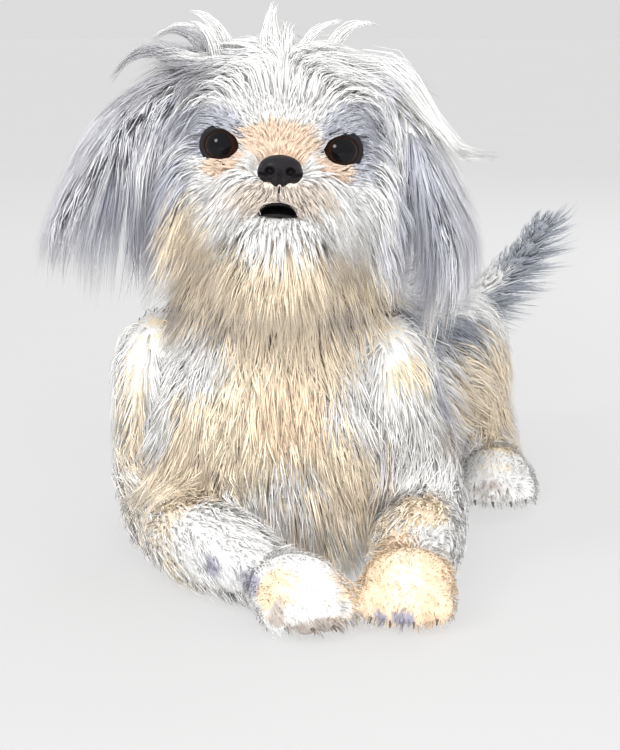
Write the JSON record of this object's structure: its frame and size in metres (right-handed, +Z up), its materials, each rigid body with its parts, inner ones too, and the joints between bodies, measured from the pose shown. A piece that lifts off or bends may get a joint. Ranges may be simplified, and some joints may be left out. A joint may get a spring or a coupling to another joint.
{
  "type": "shih tzu dog",
  "caption": "Life-size still model of a long-coated Shih Tzu lying on its belly with its forelegs out in front and its head raised.",
  "frame": {"origin": "on the floor under the breastbone, at the flat of the torso's underside", "axes": "+Z up, -Y the way the dog lies facing, +X its left side"},
  "size_m": [0.2192, 0.5087, 0.2799],
  "materials": {
    "white_coat": "long soft white hair",
    "cream_coat": "long soft hair, cream with white patches",
    "grey_coat": "long soft silver-grey hair",
    "nose_leather": "moist black pebbled skin",
    "eye": "wet dark brown eye"
  },
  "bodies": {
    "root": {"head": "white_coat", "muzzle": "white_coat", "jaw": "white_coat", "nose": "nose_leather", "eye_left": "eye", "eye_right": "eye", "ear_left": "grey_coat", "ear_right": "grey_coat", "neck": "cream_coat", "torso": "cream_coat", "tail": "grey_coat", "foreleg_left": "cream_coat", "foreleg_right": "cream_coat", "forepaw_left": "cream_coat", "forepaw_right": "cream_coat", "hindleg_left": "cream_coat", "hindleg_right": "cream_coat", "hindpaw_left": "cream_coat", "hindpaw_right": "cream_coat"}
  },
  "joints": []
}
